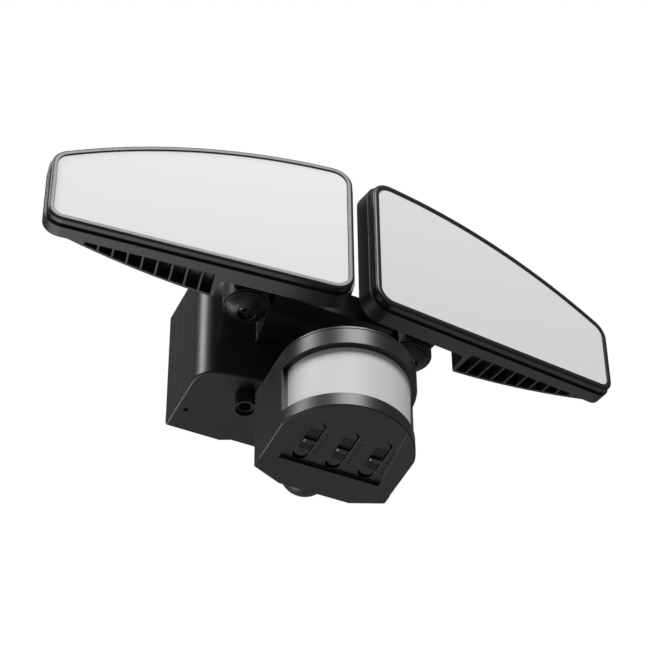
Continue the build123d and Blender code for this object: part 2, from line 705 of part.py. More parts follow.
def rear_block():
    """Rear of the lamp: flat inner part, step and sloping heat sink."""
    far = LAMP_W + 2 * HOUSING_GROW
    near = -2 * HOUSING_GROW
    mid = (SINK_DEEP[0] + SINK_SHALLOW[0]) / 2
    crest = (STEP_CREST_W, SINK_DEEP[1])
    outline = Polyline(SINK_SHALLOW, (far, SINK_END_D), (far, CAVITY_D), (near, CAVITY_D),
                       (near, HOUSING_BACK), (STEP_FOOT_W, HOUSING_BACK), crest, SINK_DEEP)
    bow = ThreePointArc(SINK_DEEP, (mid, sink_depth(mid)), SINK_SHALLOW)
    face = make_face(outline + bow)
    face = rounded(face, [(STEP_FOOT_W, HOUSING_BACK, STEP_R), (crest[0], crest[1], STEP_R)])
    return depth_prism(face)


def sink_pockets():
    """Air pockets between the fins, open at the lower and upper edge of the lamp."""
    fins = [FIN_FIRST_W + i * FIN_PITCH for i in range(FIN_COUNT)]
    starts = [STEP_CREST_W + SINK_WALL] + [w + FIN_T / 2 for w in fins]
    ends = [w - FIN_T / 2 for w in fins + [fins[-1] + FIN_PITCH]]
    low, high = starts[0] - FIN_PITCH, ends[-1] + FIN_PITCH
    mid = (low + high) / 2
    sides = Polyline((low, lamp_top(low, -FIN_REACH)), (low, lamp_bottom(low, -FIN_REACH)),
                     (high, lamp_bottom(high, -FIN_REACH)), (high, lamp_top(high, -FIN_REACH)))
    crown = ThreePointArc((high, lamp_top(high, -FIN_REACH)), (mid, lamp_top(mid, -FIN_REACH)),
                          (low, lamp_top(low, -FIN_REACH)))
    core = prism(make_face(sides + crown), (-2 * SINK_DEEP[1], 0))
    pockets = []
    for left, right in zip(starts, ends):
        outline = Polyline((left, FIN_ROOT_D), (right, FIN_ROOT_D),
                           (right, sink_depth(right) - SINK_SKIN),
                           (left, sink_depth(max(left, SINK_DEEP[0])) - SINK_SKIN), close=True)
        pockets.append(depth_prism(make_face(outline)) - core)
    return pockets


def lamp_share(w, share):
    """Height at a share of the way from the lower to the upper edge."""
    return lamp_bottom(w) + share * (lamp_top(w) - lamp_bottom(w))


def lamp_housing():
    """Rear housing with groove, light cavity and finned heat sink."""
    neck = lamp_slab(NECK_GROW, BEZEL_BACK, SHOULDER_D + 1)
    wall = lamp_slab(HOUSING_GROW, SHOULDER_D, CAVITY_D + 1)
    rear = rear_block() & lamp_slab(HOUSING_GROW, CAVITY_D, 2 * SINK_DEEP[1])
    body = neck + wall + rear
    body -= lamp_slab(-CAVITY_SHRINK, BEZEL_BACK, CAVITY_D)
    body -= lamp_slab(WINDOW_FLANGE + BEZEL_LIP_GAP, BEZEL_BACK, WINDOW_BACK + GASKET_T)
    for pocket in sink_pockets():
        body -= pocket
    for w, share in LED_SCREWS:
        z = lamp_share(w, share)
        reach = CAVITY_D + LED_SCREW_LEN - PCB_T
        body -= upright(w, z, (-reach, -CAVITY_D), BOARD_SCREW_R)
    body = place_lamp(body)
    start = -LAMP_AXIS_D + HOUSING_BACK
    depth = KNUCKLE_SCREW_LEN - PAD_T
    for x, z in knuckle_screw_places():
        body -= place_pivot(level(x, (start - depth, start), z, KNUCKLE_SCREW_R))
    return body


def bezel():
    """Front frame with a lip over the window flange."""
    frame = lamp_slab(BEZEL_GROW, -BEZEL_PROUD, BEZEL_BACK)
    frame = fillet(frame.faces().sort_by(Axis.Z)[-1].edges(), BEZEL_EDGE_R)
    frame -= lamp_slab(BEZEL_LIP_GAP, -BEZEL_PROUD, WINDOW_T)
    frame -= lamp_slab(WINDOW_FLANGE + BEZEL_LIP_GAP, WINDOW_T, BEZEL_BACK)
    return place_lamp(frame)


def diffuser():
    """Window plate with a thinner flange behind the frame lip."""
    return place_lamp(lamp_slab(0, 0, WINDOW_T) + lamp_slab(WINDOW_FLANGE, WINDOW_T, WINDOW_BACK))


def lens_gasket():
    """Flat seal between the window flange and the housing."""
    ring = lamp_slab(WINDOW_FLANGE, WINDOW_BACK, WINDOW_BACK + GASKET_T)
    return place_lamp(ring - lamp_slab(-GASKET_IN, WINDOW_BACK, WINDOW_BACK + GASKET_T))


def led_board():
    """Board on the floor of the light cavity."""
    board = lamp_slab(-LED_BOARD_SHRINK, CAVITY_D - PCB_T, CAVITY_D)
    for w, share in LED_SCREWS:
        board -= upright(w, lamp_share(w, share), (-CAVITY_D, -CAVITY_D + PCB_T),
                         BOARD_SCREW_R + SCREW_HOLE_GAP)
    return place_lamp(board)


def leds():
    """Rows of light-emitting chips that follow the lamp outline."""
    chips = []
    face = -CAVITY_D + PCB_T
    half = LED_SIZE / 2
    for i in range(LED_COLUMNS):
        w = LED_FIRST_W + i * LED_PITCH
        for share in LED_ROWS:
            z = lamp_share(w, share)
            chip = block((w - half, w + half), (z - half, z + half), (face, face + LED_T))
            chips.append(place_lamp(chip))
    return group(chips)


def led_board_screws():
    """Screws of the light board."""
    screws = []
    face = -CAVITY_D + PCB_T
    for w, share in LED_SCREWS:
        z = lamp_share(w, share)
        head = upright(w, z, (face, face + BOARD_SCREW_HEAD_H), BOARD_SCREW_HEAD_R)
        shank = upright(w, z, (face - LED_SCREW_LEN, face), BOARD_SCREW_R)
        screws.append(place_lamp(head + shank))
    return group(screws)


def knuckle_screw_places():
    """Positions of the knuckle screws across and up, in the pivot frame."""
    return [(s * KNUCKLE_SCREW_X, z) for s in (-1, 1) for z in KNUCKLE_SCREW_Z]


def knuckle():
    """Barrel in two halves round the base eye, with neck and pad."""
    back = -LAMP_AXIS_D + HOUSING_BACK
    barrel = upright(0, 0, (BARREL_BOTTOM, BARREL_TOP), BARREL_R)
    neck = block((-NECK_HALF, NECK_HALF), (back, 0), (NECK_BOTTOM, BARREL_TOP))
    pad_face = RectangleRounded(2 * PAD_HALF, PAD_TOP - PAD_BOTTOM, PAD_CORNER_R)
    pad = Pos(0, back, (PAD_TOP + PAD_BOTTOM) / 2) * Rot(90, 0, 0) * extrude(
        pad_face, amount=PAD_T, dir=(0, 0, -1))
    body = barrel + neck + pad
    body -= upright(0, 0, (EAR_LOW_TOP, EAR_TOP_BOTTOM), LUG_CLEAR_R)
    body -= block((-BARREL_R, BARREL_R), (-NECK_HALF, BARREL_R), (EAR_LOW_TOP, EAR_TOP_BOTTOM))
    body -= upright(0, 0, (BARREL_BOTTOM, BARREL_TOP), PIVOT_R + SCREW_HOLE_GAP)
    for x, z in knuckle_screw_places():
        body -= level(x, (back, back + PAD_T), z, KNUCKLE_SCREW_R + SCREW_HOLE_GAP)
    return place_pivot(body)


def knuckle_screws():
    """Screws that hold the knuckle pad on the lamp housing."""
    face = -LAMP_AXIS_D + HOUSING_BACK + PAD_T
    screws = []
    for x, z in knuckle_screw_places():
        head = level(x, (face, face + KNUCKLE_SCREW_HEAD_H), z, KNUCKLE_SCREW_HEAD_R)
        shank = level(x, (face - KNUCKLE_SCREW_LEN, face), z, KNUCKLE_SCREW_R)
        screws.append(place_pivot(head + shank))
    return group(screws)


def pivot_cup():
    """Domed cup under the barrel with a recess for the screw head."""
    top = BARREL_BOTTOM
    edge = top - CUP_EDGE
    bottom = top - CUP_DEPTH
    mid_r = CUP_BORE_R + (CUP_R - CUP_BORE_R) * CUP_ARCH_OUT
    mid_z = bottom + (edge - bottom) * CUP_ARCH_UP
    hole = PIVOT_R + SCREW_HOLE_GAP
    sides = Polyline((CUP_BORE_R, 0, bottom), (CUP_BORE_R, 0, top - CUP_FLOOR),
                     (hole, 0, top - CUP_FLOOR), (hole, 0, top), (CUP_R, 0, top),
                     (CUP_R, 0, edge))
    dome = ThreePointArc((CUP_R, 0, edge), (mid_r, 0, mid_z), (CUP_BORE_R, 0, bottom))
    return place_pivot(revolve(make_face(sides + dome), Axis.Z, 360))


def pivot_screw():
    """Cross-head bolt through cup, barrel and base eye."""
    seat = BARREL_BOTTOM - CUP_FLOOR
    head = upright(0, 0, (seat - PIVOT_HEAD_H, seat), PIVOT_HEAD_R)
    head = fillet(head.edges().group_by(Axis.Z)[0], CROSS_W)
    bolt = head + upright(0, 0, (seat, PIVOT_END), PIVOT_R)
    floor = seat - PIVOT_HEAD_H
    for w, l in ((CROSS_W, CROSS_L), (CROSS_L, CROSS_W)):
        bolt -= block((-w / 2, w / 2), (-l / 2, l / 2), (floor, floor + CROSS_DEPTH))
    return place_pivot(bolt)


def pivot_washer():
    """Friction washer between the lower barrel half and the eye."""
    ring = (EAR_LOW_TOP, EAR_LOW_TOP + WASHER_T)
    return place_pivot(upright(0, 0, ring, WASHER_R)
                       - upright(0, 0, ring, PIVOT_R + SCREW_HOLE_GAP))


def pivot_nut():
    """Nut on top of the barrel."""
    return place_pivot(hex_nut(0, 0, (BARREL_TOP, BARREL_TOP + PIVOT_NUT_H), PIVOT_NUT_AF, PIVOT_R))


# ---------------------------------------------------------------- sensor head
def sensor_plan(inset, radius, centre, back):
    """Plan of the sensor: straight sides and a round front."""
    half = SENSOR_HALF - inset
    bow = radius - inset
    corner = centre - sqrt(max(bow ** 2 - half ** 2, 0))
    sides = Polyline((-half, corner), (-half, back), (half, back), (half, corner))
    return make_face(sides + ThreePointArc((half, corner), (0, centre - bow), (-half, corner)))


def low_plan(inset, back=-SEAM_DEPTH):
    """Plan of the lower band."""
    return sensor_plan(inset, LOW_R, LOW_CENTRE, back)


def hood_plan(inset, back=-SEAM_DEPTH):
    """Plan of the hood."""
    return sensor_plan(inset, HOOD_R, HOOD_CENTRE, back)


def slide_opening(x, width, length):
    """Long round-ended hole outline for one slider."""
    return Pos(x, -SLIDE_MID_DEPTH) * SlotOverall(length, width, rotation=90)


def underside_recess():
    """Shallow panel recess that runs out towards the front."""
    wedge = side_prism(((PANEL_REAR_DEPTH, SENSOR_BOTTOM),
                        (PANEL_REAR_DEPTH, SENSOR_BOTTOM + PANEL_RECESS),
                        (PANEL_FRONT_DEPTH, SENSOR_BOTTOM)),
                       (-PANEL_HALF_REAR, PANEL_HALF_REAR))
    plan = Polyline((-PANEL_HALF_REAR, -PANEL_REAR_DEPTH), (PANEL_HALF_REAR, -PANEL_REAR_DEPTH),
                    (PANEL_HALF_FRONT, -PANEL_FRONT_DEPTH),
                    (-PANEL_HALF_FRONT, -PANEL_FRONT_DEPTH), close=True)
    return wedge & prism(make_face(plan), (SENSOR_BOTTOM, SENSOR_FLOOR_TOP))


def sensor_front_housing():
    """Front shell: hood rim, side columns, lower band and floor."""
    outer = prism(low_plan(0), (SENSOR_BOTTOM, RIM_TOP))
    bottom_edges = [e for e in outer.faces().sort_by(Axis.Z)[0].edges()
                    if e.center().Y < -SEAM_DEPTH - 1]
    outer = fillet(bottom_edges, SENSOR_FLOOR_EDGE_R)
    outer += prism(hood_plan(0), (HOOD_BOTTOM, RIM_TOP))
    lip_top = HOOD_BOTTOM + HOOD_LIP_T
    body = outer - prism(low_plan(SENSOR_WALL), (SENSOR_FLOOR_TOP, HOOD_BOTTOM))
    body -= prism(hood_plan(HOOD_LIP_W), (HOOD_BOTTOM, lip_top))
    body -= prism(hood_plan(HOOD_WALL), (lip_top, RIM_TOP))
    body -= block((-SENSOR_HALF, SENSOR_HALF), (-HOOD_FRONT, -SIDE_END),
                  (LENS_BOTTOM, HOOD_BOTTOM))
    ledge = low_plan(SENSOR_WALL / 2, LENS_TAIL - LENS_END)
    ledge -= low_plan(LENS_LIP_W, LENS_TAIL - LENS_END)
    body += prism(ledge, (LENS_BOTTOM - LENS_LIP_T, LENS_BOTTOM))
    for side in (-1, 1):
        body += block((side * LENS_HALF, side * (SENSOR_HALF - SENSOR_WALL / 2)),
                      (-SIDE_END, LENS_TAIL - LENS_END), (LENS_BOTTOM, HOOD_BOTTOM))
    body -= underside_recess()
    for x in SLIDE_X:
        body -= prism(slide_opening(x, SLIDE_W, SLIDE_LENGTH), (SENSOR_BOTTOM, SENSOR_FLOOR_TOP))
    for x, depth in CONTROL_POSTS:
        body += upright(x, -depth, (SENSOR_FLOOR_TOP, CONTROL_UNDER), CONTROL_POST_R)
        body -= upright(x, -depth, (CONTROL_TOP - CONTROL_SCREW_LEN, CONTROL_UNDER),
                        CONTROL_SCREW_R)
    for x, z in join_places():
        tie = block((x, x / abs(x) * (SENSOR_HALF - 1)), (-JOIN_BOSS_END_DEPTH, -SEAM_DEPTH),
                    (z - JOIN_BOSS_R, z + JOIN_BOSS_R))
        body += level(x, (-JOIN_BOSS_END_DEPTH, -SEAM_DEPTH), z, JOIN_BOSS_R) + tie
        body -= level(x, (-JOIN_HEAD_SEAT_DEPTH - JOIN_SCREW_LEN, -SEAM_DEPTH), z, JOIN_SCREW_R)
    return body


def join_places():
    """Positions of the screws between the two sensor shells."""
    return [(s * JOIN_SCREW_X, z) for s in (-1, 1) for z in JOIN_SCREW_Z]


def sensor_top_cap():
    """Flat cover of the hood with a seam step and a plug."""
    plate = prism(hood_plan(0), (SENSOR_TOP - CAP_T, SENSOR_TOP))
    step = prism(hood_plan(CAP_SEAM_IN), (RIM_TOP, SENSOR_TOP - CAP_T))
    plug = prism(hood_plan(HOOD_WALL + CAP_PLUG_GAP), (RIM_TOP - CAP_PLUG, RIM_TOP))
    return plate + step + plug


def rear_plan(inset):
    """Plan of the rear shell: sides, slanted corners and a flat back."""
    slant = (SENSOR_HALF - REAR_FLAT_HALF, REAR_CORNER_DEPTH - REAR_FLAT_DEPTH)
    length = sqrt(slant[0] ** 2 + slant[1] ** 2)
    half = SENSOR_HALF - inset
    flat = REAR_FLAT_DEPTH + inset
    corner = REAR_CORNER_DEPTH + inset * (length - slant[1]) / slant[0]
    flat_half = REAR_FLAT_HALF - inset * (length - slant[0]) / slant[1]
    face = make_face(Polyline((-half, -SEAM_DEPTH), (-half, -corner), (-flat_half, -flat),
                              (flat_half, -flat), (half, -corner), (half, -SEAM_DEPTH),
                              close=True))
    if inset:
        return face
    return rounded(face, [(s * x, -y, REAR_CORNER_R)
                          for s in (-1, 1) for x, y in ((half, corner), (flat_half, flat))])


def sensor_rear_housing():
    """Rear shell with ball pocket and the two tilt ears."""
    outer = prism(rear_plan(0), (SENSOR_BOTTOM, SENSOR_TOP))
    cavity = prism(rear_plan(SENSOR_WALL), (SENSOR_BOTTOM + SENSOR_WALL, SENSOR_TOP - SENSOR_WALL))
    body = outer - cavity
    body += (Pos(0, -BALL_DEPTH, BALL_Z) * Sphere(BALL_POCKET_R + BALL_POCKET_SKIN)) & outer
    for x, z in join_places():
        tie = block((x, x / abs(x) * (SENSOR_HALF - 1)), (-SEAM_DEPTH, -REAR_CORNER_DEPTH),
                    (z - JOIN_BOSS_R, z + JOIN_BOSS_R))
        column = level(x, (-SEAM_DEPTH, -REAR_FLAT_DEPTH), z, JOIN_BOSS_R + 1) + tie
        body += column & outer
        body -= level(x, (-JOIN_HEAD_SEAT_DEPTH, -REAR_FLAT_DEPTH), z, JOIN_COUNTERBORE_R)
        body -= level(x, (-SEAM_DEPTH, -JOIN_HEAD_SEAT_DEPTH), z, JOIN_SCREW_R + SCREW_HOLE_GAP)
    inner = BALL_R + EAR_GAP
    for side in (-1, 1):
        body += block((side * inner, side * (inner + EAR_T)),
                      (-REAR_FLAT_DEPTH - SENSOR_WALL, -BALL_DEPTH),
                      (BALL_Z - EAR_R, BALL_Z + EAR_R))
        body += crosswise((side * inner, side * (inner + EAR_T)), -BALL_DEPTH, BALL_Z, EAR_R)
    body -= Pos(0, -BALL_DEPTH, BALL_Z) * Sphere(BALL_POCKET_R)
    body -= crosswise((-inner - EAR_T, inner + EAR_T), -BALL_DEPTH, BALL_Z, TILT_PIN_R)
    return body


def lens_section(front, z):
    """Thin curved strip with straight tails, plan of the lens at one height."""
    faces = []
    for inset in (0.0, LENS_T):
        half = LENS_HALF - inset
        tails = Polyline((-half, -LENS_END), (-half, LENS_TAIL - LENS_END),
                         (half, LENS_TAIL - LENS_END), (half, -LENS_END))
        arc = ThreePointArc((-half, -LENS_END), (0, inset - front), (half, -LENS_END))
        faces.append(Pos(0, 0, z) * make_face(tails + arc))
    return faces


def fresnel_lens():
    """Milky lens strip, leaning forward at the top."""
    low = lens_section(LENS_LOW_FRONT, LENS_BOTTOM)
    high = lens_section(LENS_TOP_FRONT, HOOD_BOTTOM)
    outer, inner = (loft([a, b], ruled=True) for a, b in zip(low, high))
    return outer - inner


def slider(x):
    """One slide control: plate, grip bar, fine ribs, inner flange and stub."""
    y = -SLIDE_MID_DEPTH
    length = SLIDE_LENGTH - 2 * (SLIDER_TRAVEL + SLIDER_END_GAP)
    body = prism(slide_opening(x, SLIDE_W - 2 * FREE_GAP, length),
                 (SLIDER_FACE, SLIDER_FLANGE_BOTTOM))
    body += block((x - SLIDER_FLANGE_W / 2, x + SLIDER_FLANGE_W / 2),
                  (y - SLIDER_FLANGE_L / 2, y + SLIDER_FLANGE_L / 2),
                  (SLIDER_FLANGE_BOTTOM, SLIDER_FLANGE_TOP))
    body += block((x - GRIP_L / 2, x + GRIP_L / 2), (y - GRIP_W / 2, y + GRIP_W / 2),
                  (SLIDER_FACE - GRIP_H, SLIDER_FACE))
    for side in (-1, 1):
        for i in range(RIB_COUNT):
            mid = y + side * (GRIP_W / 2 + (i + 1) * RIB_PITCH)
            body += block((x - GRIP_L / 2, x + GRIP_L / 2), (mid - RIB_W / 2, mid + RIB_W / 2),
                          (SLIDER_FACE - RIB_H, SLIDER_FACE))
    return body + block((x - STUB_X / 2, x + STUB_X / 2), (y - STUB_Y / 2, y + STUB_Y / 2),
                        (SLIDER_FLANGE_TOP, SLIDER_FLANGE_TOP + STUB_H))


def slide_switches():
    """Three switch bodies under the control board, open below for the stubs."""
    bodies = []
    y = -SLIDE_MID_DEPTH
    for x in SLIDE_X:
        body = block((x - SWITCH_W / 2, x + SWITCH_W / 2), (y - SWITCH_L / 2, y + SWITCH_L / 2),
                     (SWITCH_BOTTOM, CONTROL_UNDER))
        body -= block((x - SWITCH_SLOT_W / 2, x + SWITCH_SLOT_W / 2),
                      (y - SWITCH_SLOT_L / 2, y + SWITCH_SLOT_L / 2),
                      (SWITCH_BOTTOM, SWITCH_BOTTOM + SWITCH_SLOT_H))
        bodies.append(body)
    return group(bodies)


def control_board():
    """Board on the four floor posts of the sensor."""
    board = block((-CONTROL_HALF, CONTROL_HALF), (-CONTROL_FRONT_DEPTH, -CONTROL_REAR_DEPTH),
                  (CONTROL_UNDER, CONTROL_TOP))
    for x, depth in CONTROL_POSTS:
        board -= upright(x, -depth, (CONTROL_UNDER, CONTROL_TOP), CONTROL_SCREW_R + SCREW_HOLE_GAP)
    return board


def control_screws():
    """Screws of the control board."""
    screws = []
    for x, depth in CONTROL_POSTS:
        head = upright(x, -depth, (CONTROL_TOP, CONTROL_TOP + CONTROL_SCREW_HEAD_H),
                       CONTROL_SCREW_HEAD_R)
        shank = upright(x, -depth, (CONTROL_TOP - CONTROL_SCREW_LEN, CONTROL_TOP), CONTROL_SCREW_R)
        screws.append(head + shank)
    return group(screws)


def detector_board():
    """Small upright board that stands on the control board."""
    return block((-DETECTOR_HALF, DETECTOR_HALF), (-DETECTOR_DEPTH - PCB_T, -DETECTOR_DEPTH),
                 (CONTROL_TOP, DETECTOR_TOP))


def detector():
    """Metal can of the heat detector with a square eye."""
    face = -DETECTOR_DEPTH - PCB_T
    front = face - DETECTOR_LEN
    can = level(0, (front, face), DETECTOR_Z, DETECTOR_R)
    can += level(0, (face - DETECTOR_RIM_T, face), DETECTOR_Z, DETECTOR_RIM_R)
    eye = DETECTOR_EYE / 2
    return can - block((-eye, eye), (front, front + DETECTOR_EYE_DEPTH),
                       (DETECTOR_Z - eye, DETECTOR_Z + eye))


def join_screws():
    """Screws from the rear that join the two sensor shells."""
    screws = []
    for x, z in join_places():
        seat = -JOIN_HEAD_SEAT_DEPTH
        head = level(x, (seat, seat + JOIN_HEAD_H), z, JOIN_HEAD_R)
        shank = level(x, (seat - JOIN_SCREW_LEN, seat), z, JOIN_SCREW_R)
        screws.append(head + shank)
    return group(screws)


# ---------------------------------------------------------------- sensor swivel
def swivel_ball():
    """Ball, neck, collar and threaded journal in the base floor."""
    collar_top = -HALF_H - FACE_GAP
    body = Pos(0, -BALL_DEPTH, BALL_Z) * Sphere(BALL_R)
    body += upright(0, -BALL_DEPTH, (BALL_Z, collar_top), NECK_ROD_R)
    body += upright(0, -BALL_DEPTH, (collar_top - COLLAR_H, collar_top), COLLAR_R)
    thread_top = BEARING_TOP + FACE_GAP + SWIVEL_NUT_H + JOURNAL_END
    body += upright(0, -BALL_DEPTH, (collar_top, thread_top), JOURNAL_R)
    return body - crosswise((-BALL_R, BALL_R), -BALL_DEPTH, BALL_Z, TILT_PIN_R + RUNNING_GAP)


def swivel_nut():
    """Nut on the journal inside the base."""
    bottom = BEARING_TOP + FACE_GAP
    return hex_nut(0, -BALL_DEPTH, (bottom, bottom + SWIVEL_NUT_H), SWIVEL_NUT_AF, JOURNAL_R)


def tilt_pin():
    """Pin through ears and ball."""
    reach = BALL_R + EAR_GAP + EAR_T
    return crosswise((-reach, reach), -BALL_DEPTH, BALL_Z, TILT_PIN_R)


# ---------------------------------------------------------------- output
def build():
    """Every piece by name."""
    pieces = {
        "back_plate": back_plate(),
        "rear_cover": rear_cover(),
        "base_housing": base_housing(),
        "case_screws": case_screws(),
        "cable_grommet": cable_grommet(),
        "driver_board": driver_board(),
        "driver_components": driver_components(),
        "board_screws": board_screws(),
        "terminal_block": terminal_block(),
        "sensor_front_housing": sensor_front_housing(),
        "sensor_top_cap": sensor_top_cap(),
        "sensor_rear_housing": sensor_rear_housing(),
        "fresnel_lens": fresnel_lens(),
        "slide_switches": slide_switches(),
        "control_board": control_board(),
        "control_screws": control_screws(),
        "detector_board": detector_board(),
        "detector": detector(),
        "sensor_case_screws": join_screws(),
        "swivel_ball": swivel_ball(),
        "swivel_nut": swivel_nut(),
        "tilt_pin": tilt_pin(),
    }
    for i, x in enumerate(SLIDE_X):
        pieces["sensor_slider_%d" % (i + 1)] = slider(x)
    lamp_parts = {
        "lamp_housing": lamp_housing(),
        "bezel": bezel(),
        "diffuser": diffuser(),
        "lens_gasket": lens_gasket(),
        "led_board": led_board(),
        "leds": leds(),
        "led_board_screws": led_board_screws(),
        "knuckle": knuckle(),
        "knuckle_screws": knuckle_screws(),
        "pivot_cup": pivot_cup(),
        "pivot_screw": pivot_screw(),
        "pivot_washer": pivot_washer(),
        "pivot_nut": pivot_nut(),
    }
    for name, part in lamp_parts.items():
        pieces["right_" + name] = part
        pieces["left_" + name] = mirrored(part)
    return pieces


os.makedirs("parts", exist_ok=True)
for node, shape in build().items():
    export_step(shape, "parts/" + node + ".step")
    print(node, round(shape.volume), len(shape.solids()))
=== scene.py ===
import json
from math import cos, radians, sin

import bmesh
import bpy
import numpy as np
from mathutils import Matrix, Vector


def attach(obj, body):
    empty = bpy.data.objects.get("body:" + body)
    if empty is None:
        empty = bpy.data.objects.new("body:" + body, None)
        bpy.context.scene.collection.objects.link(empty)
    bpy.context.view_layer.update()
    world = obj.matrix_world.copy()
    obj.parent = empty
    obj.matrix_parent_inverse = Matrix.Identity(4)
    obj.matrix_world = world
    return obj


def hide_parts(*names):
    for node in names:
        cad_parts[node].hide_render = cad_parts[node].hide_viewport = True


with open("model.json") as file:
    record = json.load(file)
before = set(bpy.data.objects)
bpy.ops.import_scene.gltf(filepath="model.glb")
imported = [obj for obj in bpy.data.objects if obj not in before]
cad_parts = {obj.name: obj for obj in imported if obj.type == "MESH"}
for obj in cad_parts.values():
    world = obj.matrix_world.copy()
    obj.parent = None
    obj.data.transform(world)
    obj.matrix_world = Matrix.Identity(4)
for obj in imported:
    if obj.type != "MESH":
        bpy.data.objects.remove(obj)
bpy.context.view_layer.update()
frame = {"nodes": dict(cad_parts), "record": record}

MM = 0.001
EDGE_ROUNDING = 0.35 * MM       # small rounding that moulded and cast edges catch light on
EDGE_SAMPLES = 6
BROAD_SCALE, BROAD_DETAIL = 28.0, 4.0           # mottling of colour and gloss
GRAIN_SCALE, GRAIN_DETAIL = 900.0, 3.0          # fine grain of the surface
MOTTLE = 0.12                                   # share by which the mottling varies
ROUGH_BROAD, ROUGH_FINE = 0.5, 0.4              # shares of it in the roughness
GRAIN_STRENGTH = 0.5


# ---------------------------------------------------------------- shader maths
class Val:
    """A shader value: a node output with ordinary arithmetic."""

    def __init__(self, tree, socket):
        self.tree = tree
        self.socket = socket

    def node(self, kind, out=0, props=(), **inputs):
        """Any other node of the tree; inputs are given by name or by i0, i1."""
        made = self.tree.nodes.new(kind)
        for key, value in dict(props).items():
            setattr(made, key, value)
        for key, value in inputs.items():
            slot = int(key[1:]) if key[0] == "i" and key[1:].isdigit() else key.replace("_", " ")
            put(self.tree, made.inputs[slot], value)
        return Val(self.tree, made.outputs[out])

    def math(self, operation, *others):
        given = {"i%d" % i: v for i, v in enumerate((self,) + others)}
        return self.node("ShaderNodeMath", props={"operation": operation}, **given)

    def __add__(self, other):
        return self.math("ADD", other)

    def __sub__(self, other):
        return self.math("SUBTRACT", other)

    def __rsub__(self, other):
        return self.math("MULTIPLY", -1.0).math("ADD", other)

    def __mul__(self, other):
        return self.math("MULTIPLY", other)

    __radd__ = __add__


def put(tree, socket, value):
    """Link a shader value to a socket, or set a constant on it."""
    if isinstance(value, Val):
        tree.links.new(value.socket, socket)
    else:
        socket.default_value = value


def toned(tone, color):
    """Colour scaled by a shader value."""
    return tone.node("ShaderNodeCombineColor", i0=tone * color[0], i1=tone * color[1],
                     i2=tone * color[2])


def material(name, color, roughness, metallic=0.0, grain=0.0, grain_scale=GRAIN_SCALE,
             spread=MOTTLE, extra=None):
    """Procedural finish in object coordinates: mottled colour, roughness and fine grain.

    grain is the depth of the grain in mm. extra gives another colour and grain height.
    """
    mat = bpy.data.materials.new(name)
    mat.use_nodes = True
    tree = mat.node_tree
    tree.nodes.clear()
    coords = tree.nodes.new("ShaderNodeTexCoord")
    place = Val(tree, coords.outputs["Object"])
    fine = place.node("ShaderNodeTexNoise", Vector=place, Scale=grain_scale,
                      Detail=GRAIN_DETAIL)
    broad = place.node("ShaderNodeTexNoise", Vector=place, Scale=BROAD_SCALE,
                       Detail=BROAD_DETAIL)
    tone = 1.0 + (broad - 0.5) * spread
    shader = tree.nodes.new("ShaderNodeBsdfPrincipled")
    base, height = toned(tone, color), fine
    rough = (roughness + (broad - 0.5) * (ROUGH_BROAD * spread)
             + (fine - 0.5) * (ROUGH_FINE * spread))
    put(tree, shader.inputs["Metallic"], metallic)
    if extra:
        base, height = extra(place, fine, shader)
    put(tree, shader.inputs["Base Color"], base)
    put(tree, shader.inputs["Roughness"], rough)
    if grain:
        edge = place.node("ShaderNodeBevel", props={"samples": EDGE_SAMPLES},
                          Radius=EDGE_ROUNDING)
        bump = place.node("ShaderNodeBump", Height=height, Distance=grain * MM,
                          Strength=GRAIN_STRENGTH, Normal=edge)
        put(tree, shader.inputs["Normal"], bump)
    out = tree.nodes.new("ShaderNodeOutputMaterial")
    tree.links.new(shader.outputs[0], out.inputs["Surface"])
    return mat


def axes(place):
    """Object coordinates in millimetres as three shader values."""
    split = place.tree.nodes.new("ShaderNodeSeparateXYZ")
    put(place.tree, split.inputs[0], place)
    return [Val(place.tree, split.outputs[i]) * (1.0 / MM) for i in range(3)]


WINDOW_FOOT, WINDOW_RISE = -19.3, 90.0      # heights between which the window's shade changes
# painted shade: share by which the window's colour is darker at its lower edge
WINDOW_PAINTED_SHADE = 0.015
LENS_LOW, LENS_HIGH = -97.5, -68.0          # edges of the strip, height
LENS_CENTRE = 89.0                          # middle of its curve, depth
FACET_ROWS, FACET_COLUMNS = 3, 12
FACET_HEIGHT = (LENS_HIGH - LENS_LOW) / FACET_ROWS
FACET_TURN = radians(160.0) / FACET_COLUMNS
# painted shade darkens the lens along the borders between facets, and painted light and shade
# forms faint upright bands
UPRIGHT_SHARP, UPRIGHT_SHARE = 10.0, 0.5    # borders between facets, upright and level
LEVEL_SHARP, LEVEL_SHARE = 12.0, 0.4
FACET_LINE_PAINTED_SHADE, BAND_PAINTED_SHADE, BAND_PITCH = 0.03, 0.02, 0.37
LENS_GRAIN = 0.3

BLACK = (0.0085, 0.0085, 0.009)
DARK_PAINT = (0.017, 0.017, 0.018)
WINDOW = (0.80, 0.80, 0.80)
LENS = (0.68, 0.68, 0.68)
WINDOW_MIRROR, LENS_MIRROR = 0.1, 0.3       # strength of their plain reflection


def window_look(place, fine, shader):
    """Pale window with painted shade: a little darker towards its lower edge."""
    height = axes(place)[2]
    fade = (height - WINDOW_FOOT) * (1.0 / WINDOW_RISE)
    fade = fade.math("MAXIMUM", 0.0).math("MINIMUM", 1.0)
    shader.inputs["Specular IOR Level"].default_value = WINDOW_MIRROR
    return toned(1.0 - WINDOW_PAINTED_SHADE + fade * WINDOW_PAINTED_SHADE, WINDOW), fine


